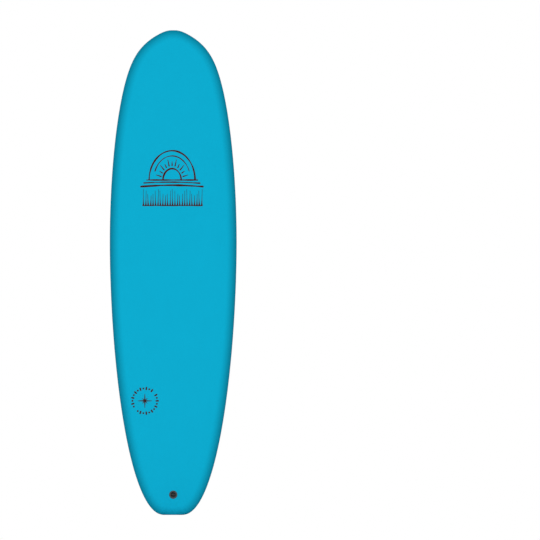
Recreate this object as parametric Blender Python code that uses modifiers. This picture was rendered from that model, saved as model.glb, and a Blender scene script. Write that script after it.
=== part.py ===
"""A soft-top surfboard, built the way the real one is: a foam blank in three strips between two wooden
stringers, a foam deck skin and a slick bottom skin that meet at the rails, a leash plug let into the deck,
and three fin boxes with removable fins held by grub screws.

The board stands upright. +Z runs from tail to nose, the deck faces -Y, and the bottom and the fins face +Y.
The origin is on the flat end of the tail. Lengths are in metres and angles in degrees.
"""

import math

import bmesh
import bpy
import numpy as np
from mathutils import Matrix, Vector

# The board's overall shape
LENGTH = 2.1336  # 7 feet
WIDTH = 0.5588  # 22 inches
THICKNESS = 0.08255  # 3 1/4 inches
WIDE_POINT = 1.2  # up from the tail
TAIL_WIDTH = 0.08  # of the cut-off tail
TAIL_OVERHANG = 0.02  # of the short end that the flat tail cuts off
TAIL_ROUNDING = 0.004  # at most, of the cut's edge
SHARPEST = 0.000001  # least rounding that still counts as one
NOSE_CURVE = (1.934, 3.118)  # exponents of the outline ahead of the wide point
NOSE_POINT = (0.494, 20.4)  # how much the nose is sharpened, and how near its tip
TAIL_CURVE = (1.852, 2.142)  # exponents of the outline behind the wide point
SPINE_FROM_TAIL = 0.08  # the ends of the line that the cross-sections fan out from
SPINE_FROM_NOSE = 0.14

# Side view: thickness and rocker
THICK_POINT = 1.08
NOSE_THICKNESS = 0.024
TAIL_THICKNESS = 0.034
NOSE_TAPER = 1.9
TAIL_TAPER = 2.1
FLAT_POINT = 0.95  # where the bottom is lowest
NOSE_ROCKER = 0.110
TAIL_ROCKER = 0.045
NOSE_LIFT = 2.4
TAIL_LIFT = 2.2
SEAM_AT_TAIL = 0.006  # how far the seam lies behind the origin
DECK_SHARE = 0.6  # of the thickness, above the seam
DECK_CROWN = (4.2, 2.2)  # superellipse exponents of the cross-section above the seam
BOTTOM_FLAT = (8.0, 2.2)  # and below it

# Layers
DECK_SKIN = 0.005
BOTTOM_SKIN = 0.003
GAP = 0.0003  # left between neighbouring pieces
STRINGER_AT = 0.070  # from the centreline
STRINGER_WIDTH = 0.005

# Leash plug
PLUG_FROM_TAIL = 0.089
PLUG_RADIUS = 0.018
PLUG_FLANGE = 0.0025
CUP_RADIUS = 0.014
CUP_DEPTH = 0.020
BORE_RADIUS = 0.011
BORE_DEPTH = 0.017
PIN_RADIUS = 0.002
PIN_LENGTH = 0.026
PIN_DEPTH = 0.0075
PLUG_BLOCK_RADIUS = 0.0205
PLUG_BLOCK_TOP = 0.0065
PLUG_BLOCK_DEPTH = 0.023

# Fin boxes: each is a flat pill-shaped flange on a narrower body with a slot
FIN_SIDE_OFFSET = 0.1635
FIN_SIDE_FROM_TAIL = 0.460
FIN_CENTRE_FROM_TAIL = 0.190
TOE_IN = 2.5
CANT = 5.5
BOX_SINK = 0.0003  # the flange's face lies this far below the bottom
FLANGE_LENGTH = 0.170
FLANGE_WIDTH = 0.040
FLANGE_THICKNESS = 0.003
BOX_LENGTH = 0.150
BOX_WIDTH = 0.029
BOX_DEPTH = 0.0205
BLOCK_LENGTH = 0.162
BLOCK_WIDTH = 0.036
BLOCK_DEPTH = 0.0245
SLOT_LENGTH = 0.1126
SLOT_WIDTH = 0.0070
SLOT_DEPTH = 0.0175

# Fins
FIN_BASE = 0.115
FIN_DEPTH = 0.112
FIN_THICKNESS = 0.0064
FIN_FOOT = 0.0006  # the blade starts this far off the flange
FIN_SWEEP = 0.024  # how far the tip lies behind the base's trailing end
EDGE_THICKNESS = 0.0009
TAB_LENGTH = 0.112
TAB_WIDTH = 0.0064
TAB_DEPTH = 0.0168

# Grub screws: they lean at 45 degrees, and their cone bears on the tab's flank
SCREW_SPACING = 0.076
SCREW_RADIUS = 0.0025
SCREW_LENGTH = 0.0063
CONE_LENGTH = 0.0017
CONE_TIP = 0.0008
SCREW_TILT = 45.0
TIP_OFFSET = 0.0041  # from the tab's middle plane
TIP_DEPTH = 0.0075
HEX_RADIUS = 0.00145
HEX_DEPTH = 0.0024
BORE_CLEARANCE = 0.0003

# How finely the lofts are cut
STATIONS = 48  # along half of the outline
RINGS = 8  # from the spine to the outline

DECK, BOTTOM = -1, 1  # the two faces, as their direction along Y

BLUE = (0.05, 0.40, 0.62)
YELLOW = (0.80, 0.83, 0.28)
CHARCOAL = (0.055, 0.055, 0.06)
NYLON = (0.05, 0.05, 0.055)
STEEL = (0.62, 0.63, 0.64)
FOAM = (0.90, 0.90, 0.87)
DENSE_FOAM = (0.72, 0.66, 0.50)
WOOD = (0.55, 0.38, 0.20)


def clear_scene():
    for old in list(bpy.data.objects):
        bpy.data.objects.remove(old, do_unlink=True)


def make_collection(name):
    collection = bpy.data.collections.new(name)
    bpy.context.scene.collection.children.link(collection)
    return collection


def make_material(name, colour, roughness, metallic=0.0):
    material = bpy.data.materials.new(name)
    material.use_nodes = True
    shader = material.node_tree.nodes["Principled BSDF"]
    shader.inputs["Base Color"].default_value = (*colour, 1.0)
    shader.inputs["Roughness"].default_value = roughness
    shader.inputs["Metallic"].default_value = metallic
    material.diffuse_color = (*colour, 1.0)
    return material


# The board's surface


def half_width(z):
    """Half of the board's width, z above the tail. Below the tail it is the short end that gets cut off, which
    leaves the sides without a corner."""
    ahead = np.clip((z - WIDE_POINT) / (LENGTH - WIDE_POINT), 0, 1)
    behind = np.clip((WIDE_POINT - z) / WIDE_POINT, 0, 1)
    below = np.clip(-z / TAIL_OVERHANG, 0, 1)
    rise, fullness = NOSE_CURVE
    point, nearness = NOSE_POINT
    nose = WIDTH / 2 * (1 - ahead**rise) ** (1 / fullness) * (1 - point * ahead**nearness)
    rise, fullness = TAIL_CURVE
    tail = (WIDTH - TAIL_WIDTH) / 2 * (1 - behind**rise) ** (1 / fullness) + TAIL_WIDTH / 2
    end = TAIL_WIDTH / 2 * np.sqrt(1 - np.sqrt(below))
    return np.where(z >= WIDE_POINT, nose, np.where(z >= 0, tail, end))


def thickness(z):
    ahead = np.clip((z - THICK_POINT) / (LENGTH - THICK_POINT), 0, 1)
    behind = np.clip((THICK_POINT - z) / THICK_POINT, 0, 1)
    nose_loss = (THICKNESS - NOSE_THICKNESS) * ahead**NOSE_TAPER
    tail_loss = (THICKNESS - TAIL_THICKNESS) * behind**TAIL_TAPER
    return THICKNESS - nose_loss - tail_loss


def rocker(z):
    """How far the bottom has bent towards the deck."""
    ahead = np.clip((z - FLAT_POINT) / (LENGTH - FLAT_POINT), 0, 1)
    behind = np.clip((FLAT_POINT - z) / FLAT_POINT, 0, 1)
    return NOSE_ROCKER * ahead**NOSE_LIFT + TAIL_ROCKER * behind**TAIL_LIFT


def seam_line(z):
    """Y of the line round the rails where the two skins meet."""
    below_seam = (1 - DECK_SHARE) * thickness(z)
    flat_bottom = SEAM_AT_TAIL + (1 - DECK_SHARE) * TAIL_THICKNESS + TAIL_ROCKER
    return flat_bottom - rocker(z) - below_seam


def spine_height(z):
    """Where on the spine the cross-section through the outline's point at z starts."""
    share = (z + TAIL_OVERHANG) / (LENGTH + TAIL_OVERHANG)
    return SPINE_FROM_TAIL + share * (LENGTH - SPINE_FROM_NOSE - SPINE_FROM_TAIL)


def cut_tail(z, rim):
    """Flattens everything below the tail onto z = 0, with a small rounding above it. rim is the height of the
    outline's point: the rounding grows from nothing as that passes below the tail, so the corners stay smooth."""
    radius = np.clip(-rim, SHARPEST, TAIL_ROUNDING)
    rounded = (z + radius) ** 2 / (4 * radius)
    return np.where(z <= -radius, 0.0, np.where(z >= radius, z, rounded))


def outline_stations():
    """Half of the outline from tail to nose as (x, z, outward normal), closer together where it bends."""
    turn = np.linspace(0, math.pi, 4001)
    middle = (LENGTH - TAIL_OVERHANG) / 2
    z = middle - (LENGTH + TAIL_OVERHANG) / 2 * np.cos(turn)
    x = half_width(z)
    x[[0, -1]] = 0.0
    steps = np.column_stack([np.diff(x), np.diff(z)])
    lengths = np.linalg.norm(steps, axis=1)
    angles = np.unwrap(np.arctan2(steps[:, 1], steps[:, 0]))
    bends = np.append(0.0, np.abs(np.diff(angles)))
    measure = np.append(0.0, np.cumsum(lengths / lengths.sum() + 0.5 * bends / bends.sum()))
    wanted = np.linspace(0, measure[-1], STATIONS + 1)
    tangents = np.column_stack([np.gradient(x), np.gradient(z)])
    tangents /= np.linalg.norm(tangents, axis=1)[:, None]
    normals = np.column_stack([tangents[:, 1], -tangents[:, 0]])
    normals[0], normals[-1] = (0.0, -1.0), (0.0, 1.0)
    columns = [np.interp(wanted, measure, values) for values in (x, z, normals[:, 0], normals[:, 1])]
    columns[0][[0, -1]] = 0.0
    return columns


def surface_grid(face, inset=0.0, lift=0.0, rim_gap=0.0):
    """Points of one face of the board, or of a smaller board inside it: inset is how far its outline is drawn
    in, lift how far its surface is, and rim_gap how far its edge stays off the seam. Rows run from the spine
    to the outline, and columns from tail to nose."""
    x, z, normal_x, normal_z = outline_stations()
    across, along = DECK_CROWN if face == DECK else BOTTOM_FLAT
    share = DECK_SHARE if face == DECK else 1 - DECK_SHARE
    angle = np.linspace(0, math.pi / 2, RINGS + 1)[:, None]
    out = np.sin(angle) ** (2 / across)
    up = np.cos(angle) ** (2 / along)
    up[-1] = 0.0
    spine = spine_height(z)
    rim_x = x - inset * normal_x
    rim_z = z - inset * normal_z
    grid_x = out * rim_x
    grid_z = inset + cut_tail(spine + out * (rim_z - spine) - inset, z)
    height = share * thickness(grid_z) - lift
    grid_y = seam_line(grid_z) + face * (rim_gap + (height - rim_gap) * up)
    return np.stack([grid_x, grid_y, grid_z], axis=-1)


def surface_y(face, x, z):
    """Y of the board's face at x, z, found by sliding along the outline until the section meets the point."""
    low, high = -TAIL_OVERHANG, LENGTH
    for _ in range(50):
        middle = (low + high) / 2
        spine = spine_height(middle)
        reach = abs(x) / max(float(half_width(middle)), 1e-9)
        if spine + reach * (middle - spine) < z:
            low = middle
        else:
            high = middle
    reach = min(abs(x) / float(half_width(low)), 1.0)
    across, along = DECK_CROWN if face == DECK else BOTTOM_FLAT
    share = DECK_SHARE if face == DECK else 1 - DECK_SHARE
    height = share * float(thickness(z)) * (1 - reach**across) ** (1 / along)
    return float(seam_line(z)) + face * height


def surface_frame(face, x, z, turn=0.0):
    """A frame on the board's face: X towards the nose turned by an angle about the normal, Z outwards."""
    step = 0.005
    slope_x = (surface_y(face, x + step, z) - surface_y(face, x - step, z)) / (2 * step)
    slope_z = (surface_y(face, x, z + step) - surface_y(face, x, z - step)) / (2 * step)
    normal = Vector((-slope_x * face, face, -slope_z * face)).normalized()
    nose = Vector((0, slope_z, 1)).normalized()
    frame = Matrix((nose, normal.cross(nose), normal)).transposed().to_4x4()
    frame.translation = (x, surface_y(face, x, z), z)
    return frame @ Matrix.Rotation(math.radians(turn), 4, "Z")


# Meshes


def strip_faces(first, second, columns, flip):
    """The triangles between two rows of vertices. Every layer is split along the same diagonals, which lean
    outwards towards the board's middle, so that no triangle lies flat on the middle plane."""
    faces = []
    for column in range(columns - 1):
        near, far = first + column, second + column
        if column < columns // 2:
            pair = (near, near + 1, far + 1), (near, far + 1, far)
        else:
            pair = (near, near + 1, far), (near + 1, far + 1, far)
        faces += [face[::-1] for face in pair] if flip else pair
    return faces


def grid_faces(rows, columns, start, flip):
    """The faces of a grid of vertices that is stored row by row from a starting index."""
    faces = []
    for row in range(rows - 1):
        first = start + row * columns
        faces += strip_faces(first, first + columns, columns, flip)
    return faces


def mesh_from(name, points, faces):
    mesh = bpy.data.meshes.new(name)
    mesh.from_pydata([tuple(map(float, point)) for point in points], [], faces)
    mesh.update()
    return mesh


def half_skin_mesh(name, face, depth):
    """Half of a skin of the given thickness, open at the board's middle plane."""
    outer = surface_grid(face, rim_gap=GAP / 2)
    inner = surface_grid(face, inset=DECK_SKIN, lift=depth, rim_gap=GAP / 2)
    rows, columns, _ = outer.shape
    size = rows * columns
    flip = face == BOTTOM
    faces = grid_faces(rows, columns, 0, not flip)
    faces += grid_faces(rows, columns, size, flip)
    faces += strip_faces(size - columns, 2 * size - columns, columns, not flip)
    return mesh_from(name, np.concatenate([outer.reshape(-1, 3), inner.reshape(-1, 3)]), faces)


def half_core_mesh(name):
    """Half of the whole foam blank, open at the board's middle plane."""
    deck = surface_grid(DECK, inset=DECK_SKIN + GAP, lift=DECK_SKIN + GAP)
    bottom = surface_grid(BOTTOM, inset=DECK_SKIN + GAP, lift=BOTTOM_SKIN + GAP)
    rows, columns, _ = deck.shape
    size = rows * columns
    points = np.concatenate([deck.reshape(-1, 3), bottom[:-1].reshape(-1, 3)])
    faces = grid_faces(rows, columns, 0, True)
    faces += grid_faces(rows - 1, columns, size, False)
    faces += strip_faces(size + (rows - 2) * columns, size - columns, columns, False)
    return mesh_from(name, points, faces)


def box_mesh(name, low, high):
    mesh = bpy.data.meshes.new(name)
    shape = bmesh.new()
    bmesh.ops.create_cube(shape, size=1.0)
    centre = (Vector(low) + Vector(high)) / 2
    scale = Vector(high) - Vector(low)
    bmesh.ops.scale(shape, vec=scale, verts=shape.verts)
    bmesh.ops.translate(shape, vec=centre, verts=shape.verts)
    shape.to_mesh(mesh)
    shape.free()
    return mesh


def cylinder_mesh(name, radius, low, high, far_radius=None, segments=40):
    """A cylinder, or a cone, along Z. far_radius is its radius at the high end."""
    mesh = bpy.data.meshes.new(name)
    shape = bmesh.new()
    bmesh.ops.create_cone(
        shape,
        cap_ends=True,
        segments=segments,
        radius1=radius,
        radius2=radius if far_radius is None else far_radius,
        depth=high - low,
        matrix=Matrix.Translation((0, 0, (low + high) / 2)) @ Matrix.Rotation(math.pi / segments, 4, "Z"),
    )
    shape.to_mesh(mesh)
    shape.free()
    return mesh


def pill_mesh(name, length, width, low, high):
    """A cylinder pulled out along X, so that its outline is a straight-sided pill."""
    mesh = cylinder_mesh(name, width / 2, low, high)
    for vertex in mesh.vertices:
        vertex.co.x += math.copysign((length - width) / 2, vertex.co.x)
    return mesh


# Objects


def place(name, mesh, collection, material=None, parent=None, local=None):
    """Puts a mesh in the scene, in its parent's frame if it has one."""
    thing = bpy.data.objects.new(name, mesh)
    collection.objects.link(thing)
    thing.parent = parent
    thing.matrix_local = local or Matrix.Identity(4)
    if material:
        mesh.materials.clear()
        mesh.materials.append(material)
    return thing


def place_cutter(name, mesh, collection, parent=None, local=None):
    cutter = place(name, mesh, collection, parent=parent, local=local)
    cutter.hide_render = True
    cutter.display_type = "WIRE"
    return cutter


def place_frame(name, collection, matrix, parent=None):
    """An empty that carries the pieces built in its frame."""
    frame = bpy.data.objects.new(name, None)
    collection.objects.link(frame)
    frame.empty_display_size = 0.02
    frame.parent = parent
    frame.matrix_local = matrix
    return frame


def mirror(thing):
    modifier = thing.modifiers.new("other half", "MIRROR")
    modifier.use_axis = (True, False, False)
    modifier.use_mirror_merge = True
    modifier.merge_threshold = 0.00005


def combine(thing, cutter, operation="DIFFERENCE"):
    modifier = thing.modifiers.new(f"{operation.lower()} {cutter.name}", "BOOLEAN")
    modifier.operation = operation
    modifier.solver = "EXACT"
    modifier.object = cutter


def smooth(thing, angle=35):
    thing.data.shade_smooth()
    thing.data.set_sharp_from_angle(angle=math.radians(angle))


def applied_mesh(thing, name):
    """The mesh of an object with its modifiers applied. The object is removed."""
    bpy.context.view_layer.update()
    graph = bpy.context.evaluated_depsgraph_get()
    mesh = bpy.data.meshes.new_from_object(thing.evaluated_get(graph))
    mesh.name = name
    bpy.data.objects.remove(thing, do_unlink=True)
    return mesh


# The blank and its skins


def build_skins(parts, materials):
    deck = place("deck_skin", half_skin_mesh("deck_skin", DECK, DECK_SKIN), parts, materials["deck"])
    bottom_mesh = half_skin_mesh("bottom_skin", BOTTOM, BOTTOM_SKIN)
    bottom = place("bottom_skin", bottom_mesh, parts, materials["bottom"])
    for skin in (deck, bottom):
        mirror(skin)
        smooth(skin)
    return deck, bottom


def build_blank(parts, cutters, materials):
    """The foam strips and the stringers. Each is the part of one whole blank that a box keeps."""
    whole = place("whole_blank", half_core_mesh("whole_blank"), parts)
    mirror(whole)
    blank = applied_mesh(whole, "whole_blank")
    inner = STRINGER_AT - STRINGER_WIDTH / 2
    outer = STRINGER_AT + STRINGER_WIDTH / 2
    spans = {
        "foam_core_left": (-WIDTH, -outer - GAP),
        "stringer_left": (-outer, -inner),
        "foam_core_centre": (-inner + GAP, inner - GAP),
        "stringer_right": (inner, outer),
        "foam_core_right": (outer + GAP, WIDTH),
    }
    strips = {}
    for name, (left, right) in spans.items():
        material = materials["wood" if name.startswith("stringer") else "foam"]
        strip = place(name, blank.copy(), parts, material)
        keep = place_cutter(
            f"keep_{name}", box_mesh(f"keep_{name}", (left, -1, -1), (right, 1, LENGTH + 1)), cutters
        )
        combine(strip, keep, "INTERSECT")
        strips[name] = strip
    return strips


# The leash plug


def build_leash_plug(parts, cutters, materials, deck, core):
    frame = place_frame("leash_plug", parts, surface_frame(DECK, 0.0, PLUG_FROM_TAIL, 90))

    def pocket(name, radius, depth, target):
        mesh = cylinder_mesh(name, radius + GAP, -depth - GAP, PLUG_RADIUS, segments=48)
        combine(target, place_cutter(name, mesh, cutters, frame))

    pocket("plug_flange_pocket", PLUG_RADIUS, PLUG_FLANGE, deck)
    pocket("plug_cup_pocket", CUP_RADIUS, CUP_DEPTH, deck)
    pocket("plug_block_pocket", PLUG_BLOCK_RADIUS, PLUG_BLOCK_DEPTH, core)

    profile = [
        (0.0, -BORE_DEPTH),
        (BORE_RADIUS, -BORE_DEPTH),
        (BORE_RADIUS, 0.0),
        (PLUG_RADIUS, 0.0),
        (PLUG_RADIUS, -PLUG_FLANGE),
        (CUP_RADIUS, -PLUG_FLANGE),
        (CUP_RADIUS, -CUP_DEPTH),
        (0.0, -CUP_DEPTH),
    ]
    outline = bpy.data.meshes.new("leash_plug_cup")
    edges = [(index, index + 1) for index in range(len(profile) - 1)]
    outline.from_pydata([(radius, 0, height) for radius, height in profile], edges, [])
    cup = place("leash_plug_cup", outline, parts, materials["nylon"], frame)
    screw = cup.modifiers.new("turned", "SCREW")
    screw.steps = screw.render_steps = 48
    screw.use_merge_vertices = True
    screw.merge_threshold = 0.0001
    screw.use_smooth_shade = False

    across = Matrix.Translation((0, 0, -PIN_DEPTH)) @ Matrix.Rotation(math.pi / 2, 4, "Y")
    half = PIN_LENGTH / 2
    hole = cylinder_mesh("plug_pin_hole", PIN_RADIUS + GAP, -half - GAP, half + GAP, segments=24)
    combine(cup, place_cutter("plug_pin_hole", hole, cutters, frame, across))
    pin_mesh = cylinder_mesh("leash_plug_pin", PIN_RADIUS, -half, half, segments=24)
    pin = place("leash_plug_pin", pin_mesh, parts, materials["nylon"], frame, across)
    smooth(pin)

    block_mesh = cylinder_mesh(
        "leash_plug_block", PLUG_BLOCK_RADIUS, -PLUG_BLOCK_DEPTH, -PLUG_BLOCK_TOP, segments=48
    )
    block = place("leash_plug_block", block_mesh, parts, materials["dense_foam"], frame)
    pocket("plug_block_socket", CUP_RADIUS, CUP_DEPTH, block)
    smooth(block)


# The fins


def blade_section(share, flat_side):
    """One section of the blade, share of the way from base to tip, as (along, across, out) points."""
    trailing = -FIN_BASE / 2 + 0.006 * math.sin(math.pi * share) - FIN_SWEEP * share**2
    chord = FIN_BASE * (1 - share**1.6) ** 0.62
    full = (FIN_THICKNESS - EDGE_THICKNESS) * (1 - 0.72 * share) / 2
    out = FIN_FOOT + share * (FIN_DEPTH - FIN_FOOT)
    count = 12
    faces = {}
    for side in (1, -1):
        bulge = 0.15 if side == flat_side else 1.0
        points = []
        for step in range(count + 1):
            from_front = (1 - math.cos(math.pi * step / count)) / 2
            swell = math.sin(math.pi * from_front**0.6)
            across = side * (EDGE_THICKNESS / 2 + bulge * full * swell)
            points.append((trailing + chord * (1 - from_front), across, out))
        faces[side] = points
    return faces[1] + faces[-1][::-1]


def blade_mesh(name, flat_side):
    """The fin's blade, lofted from base to tip."""
    shares = [0.99 * math.sin(math.pi / 2 * step / 14) for step in range(15)]
    sections = [blade_section(share, flat_side) for share in shares]
    count = len(sections[0])
    faces = []
    for row in range(len(sections) - 1):
        for column in range(count):
            beside = (column + 1) % count
            low, high = row * count, (row + 1) * count
            faces.append((low + column, high + column, high + beside, low + beside))
    faces.append(tuple(range(count)))
    faces.append(tuple(reversed(range((len(sections) - 1) * count, len(sections) * count))))
    return mesh_from(name, [point for section in sections for point in section], faces)


def screw_mesh(cutters):
    """A grub screw along Z, with its cone's tip at the origin and a hexagonal socket at the other end."""
    shaft = cylinder_mesh("grub_screw", SCREW_RADIUS, CONE_LENGTH, SCREW_LENGTH, segments=24)
    cone = cylinder_mesh("grub_cone", CONE_TIP, 0.0, CONE_LENGTH, far_radius=SCREW_RADIUS, segments=24)
    shape = bmesh.new()
    shape.from_mesh(shaft)
    shape.from_mesh(cone)
    bmesh.ops.remove_doubles(shape, verts=shape.verts, dist=1e-6)
    seam = [face for face in shape.faces if len(face.verts) > 4]
    inside = [face for face in seam if abs(face.calc_center_median().z - CONE_LENGTH) < 1e-6]
    bmesh.ops.delete(shape, geom=inside, context="FACES_ONLY")
    shape.to_mesh(shaft)
    shape.free()
    blank = place("grub_blank", shaft, cutters)
    socket = cylinder_mesh("hex_key", HEX_RADIUS, SCREW_LENGTH - HEX_DEPTH, SCREW_LENGTH * 2, segments=6)
    key = place_cutter("hex_key", socket, cutters)
    combine(blank, key)
    mesh = applied_mesh(blank, "grub_screw")
    bpy.data.objects.remove(key, do_unlink=True)
    mesh.shade_smooth()
    mesh.set_sharp_from_angle(angle=math.radians(35))
    return mesh


def build_fin(parts, cutters, materials, side, position, bottom, core, screws):
    """One fin box with its backing block, fin and screws. side is -1 for left, 0 for centre, 1 for right."""
    name = {-1: "left", 0: "centre", 1: "right"}[side]
    x, z = position
    frame = surface_frame(BOTTOM, x, z, -side * TOE_IN)
    frame = frame @ Matrix.Translation((0, 0, -BOX_SINK))
    mount = place_frame(f"fin_mount_{name}", parts, frame)
    canted = place_frame(f"fin_plane_{name}", parts, Matrix.Rotation(math.radians(-side * CANT), 4, "X"), mount)

    def pocket(label, length, width, low, target):
        mesh = pill_mesh(label, length + 2 * GAP, width + 2 * GAP, low - GAP, FLANGE_WIDTH / 2)
        combine(target, place_cutter(f"{label}_{name}", mesh, cutters, mount))

    pocket("skin_hole", FLANGE_LENGTH, FLANGE_WIDTH, -BLOCK_DEPTH, bottom)
    pocket("flange_pocket", FLANGE_LENGTH, FLANGE_WIDTH, -FLANGE_THICKNESS, core)
    pocket("block_pocket", BLOCK_LENGTH, BLOCK_WIDTH, -BLOCK_DEPTH, core)

    block_mesh = pill_mesh(
        f"fin_box_block_{name}", BLOCK_LENGTH, BLOCK_WIDTH, -BLOCK_DEPTH, -FLANGE_THICKNESS - GAP
    )
    block = place(f"fin_box_block_{name}", block_mesh, parts, materials["dense_foam"], mount)
    pocket("box_pocket", BOX_LENGTH, BOX_WIDTH, -BOX_DEPTH, block)

    box_name = f"fin_box_{name}"
    flange = pill_mesh(box_name, FLANGE_LENGTH, FLANGE_WIDTH, -FLANGE_THICKNESS, 0.0)
    box = place(box_name, flange, parts, materials["nylon"], mount)
    body = pill_mesh(f"box_body_{name}", BOX_LENGTH, BOX_WIDTH, -BOX_DEPTH, -FLANGE_THICKNESS / 2)
    combine(box, place_cutter(f"box_body_{name}", body, cutters, mount), "UNION")
    half_length, half_width_ = SLOT_LENGTH / 2, SLOT_WIDTH / 2
    slot = box_mesh(
        f"slot_{name}", (-half_length, -half_width_, -SLOT_DEPTH), (half_length, half_width_, SLOT_DEPTH)
    )
    combine(box, place_cutter(f"slot_{name}", slot, cutters, canted))

    inward = -side if side else -1
    fin = place(f"fin_{name}", blade_mesh(f"fin_{name}", inward if side else 0), parts, materials["fin"], canted)
    tab = box_mesh(
        f"tab_{name}", (-TAB_LENGTH / 2, -TAB_WIDTH / 2, -TAB_DEPTH), (TAB_LENGTH / 2, TAB_WIDTH / 2, 0.0012)
    )
    combine(fin, place_cutter(f"tab_{name}", tab, cutters, canted), "UNION")
    smooth(fin)

    for along, end in ((1, "front"), (-1, "rear")):
        tip = Matrix.Translation((along * SCREW_SPACING / 2, inward * TIP_OFFSET, -TIP_DEPTH))
        lean = Matrix.Rotation(math.radians(-inward * SCREW_TILT), 4, "X")
        place(f"fin_screw_{name}_{end}", screws, parts, materials["steel"], canted, tip @ lean)
        hole_name = f"screw_hole_{name}_{end}"
        hole = cylinder_mesh(hole_name, SCREW_RADIUS + BORE_CLEARANCE, -0.0012, 0.015, segments=24)
        combine(box, place_cutter(hole_name, hole, cutters, canted, tip @ lean))


def main():
    clear_scene()
    parts = make_collection("soft_top_surfboard")
    cutters = make_collection("cutters")
    materials = {
        "deck": make_material("deck_foam", BLUE, 0.62),
        "bottom": make_material("slick_bottom", YELLOW, 0.28),
        "nylon": make_material("moulded_nylon", NYLON, 0.45),
        "fin": make_material("fin_nylon", CHARCOAL, 0.38),
        "steel": make_material("stainless_steel", STEEL, 0.3, 1.0),
        "foam": make_material("blank_foam", FOAM, 0.9),
        "dense_foam": make_material("dense_foam", DENSE_FOAM, 0.85),
        "wood": make_material("stringer_wood", WOOD, 0.6),
    }
    deck, bottom = build_skins(parts, materials)
    strips = build_blank(parts, cutters, materials)
    build_leash_plug(parts, cutters, materials, deck, strips["foam_core_centre"])
    screws = screw_mesh(cutters)
    places = {
        -1: ((-FIN_SIDE_OFFSET, FIN_SIDE_FROM_TAIL), strips["foam_core_left"]),
        0: ((0.0, FIN_CENTRE_FROM_TAIL), strips["foam_core_centre"]),
        1: ((FIN_SIDE_OFFSET, FIN_SIDE_FROM_TAIL), strips["foam_core_right"]),
    }
    for side, (position, core) in places.items():
        build_fin(parts, cutters, materials, side, position, bottom, core, screws)
    bpy.context.view_layer.update()


main()
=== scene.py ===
"""The looks of a soft-top surfboard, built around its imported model.

The board stands upright. +Z runs from tail to nose, the deck faces -Y, and the bottom and the fins face +Y.
The origin is on the flat end of the tail. Lengths are in metres and angles in degrees.
"""

import math

import bpy
import numpy as np
from mathutils import Matrix, Vector
from mathutils.geometry import delaunay_2d_cdt
from mathutils.kdtree import KDTree


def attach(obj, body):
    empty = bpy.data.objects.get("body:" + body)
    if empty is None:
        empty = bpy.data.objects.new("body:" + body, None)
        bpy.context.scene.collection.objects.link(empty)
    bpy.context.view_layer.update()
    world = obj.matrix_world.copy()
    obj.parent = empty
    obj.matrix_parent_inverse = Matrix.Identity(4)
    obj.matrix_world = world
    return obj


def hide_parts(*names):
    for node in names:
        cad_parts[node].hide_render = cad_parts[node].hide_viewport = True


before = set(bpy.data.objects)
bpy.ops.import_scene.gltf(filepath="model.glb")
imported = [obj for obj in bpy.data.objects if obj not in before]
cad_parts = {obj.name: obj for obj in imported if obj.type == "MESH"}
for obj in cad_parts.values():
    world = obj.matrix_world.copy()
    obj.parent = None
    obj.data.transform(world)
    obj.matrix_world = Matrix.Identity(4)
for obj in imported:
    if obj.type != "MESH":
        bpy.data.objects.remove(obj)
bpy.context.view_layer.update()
MM = 0.001

# The board's overall shape, as in the CAD
LENGTH = 2.1336
WIDTH = 0.5588
THICKNESS = 0.08255
WIDE_POINT = 1.2
TAIL_WIDTH = 0.08
TAIL_OVERHANG = 0.02
TAIL_ROUNDING = 0.004  # at most, of the cut's edge
SHARPEST = 0.000001  # least rounding that still counts as one
NOSE_CURVE = (1.934, 3.118)
NOSE_POINT = (0.494, 20.4)
TAIL_CURVE = (1.852, 2.142)
SPINE_FROM_TAIL = 0.08
SPINE_FROM_NOSE = 0.14
THICK_POINT = 1.08
NOSE_THICKNESS = 0.024
TAIL_THICKNESS = 0.034
NOSE_TAPER = 1.9
TAIL_TAPER = 2.1
FLAT_POINT = 0.95
NOSE_ROCKER = 0.110
TAIL_ROCKER = 0.045
NOSE_LIFT = 2.4
TAIL_LIFT = 2.2
SEAM_AT_TAIL = 0.006
DECK_SHARE = 0.6
DECK_CROWN = (4.2, 2.2)
BOTTOM_FLAT = (8.0, 2.2)
DECK_SKIN = 0.005
BOTTOM_SKIN = 0.003
GAP = 0.0003

# How finely the round pieces are cut
PILL_STEPS = 24  # in each quarter of a fin box's outline
SLOT_STEPS = 6  # in each corner of a slot or a tab
CUP_SEGMENTS = 96
PIN_SEGMENTS = 48  # of the pin, its hole and the screws' bores

# How finely the skins are cut, and how their edges roll in to the seam
OUTLINE_SAMPLES = 8001  # that the stations are read from
BEND_WEIGHT = 0.5  # of the outline's bends against its length, in spacing the stations
STATIONS = 260
OUTER_RINGS = 56
INNER_RINGS = 8
RING_CROWDING = 1.6  # rings lie closer together towards the seam
SEAM_ROLL = 0.0009
SEAM_REACH = 0.0016

# Leash plug
PLUG_FROM_TAIL = 0.089
PLUG_RADIUS = 0.018
PLUG_FLANGE = 0.0025
CUP_RADIUS = 0.014
CUP_DEPTH = 0.020
BORE_RADIUS = 0.011
BORE_DEPTH = 0.017
PIN_RADIUS = 0.002
PIN_WAIST = 0.00175
PIN_LENGTH = 0.026
PIN_DEPTH = 0.0075

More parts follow.
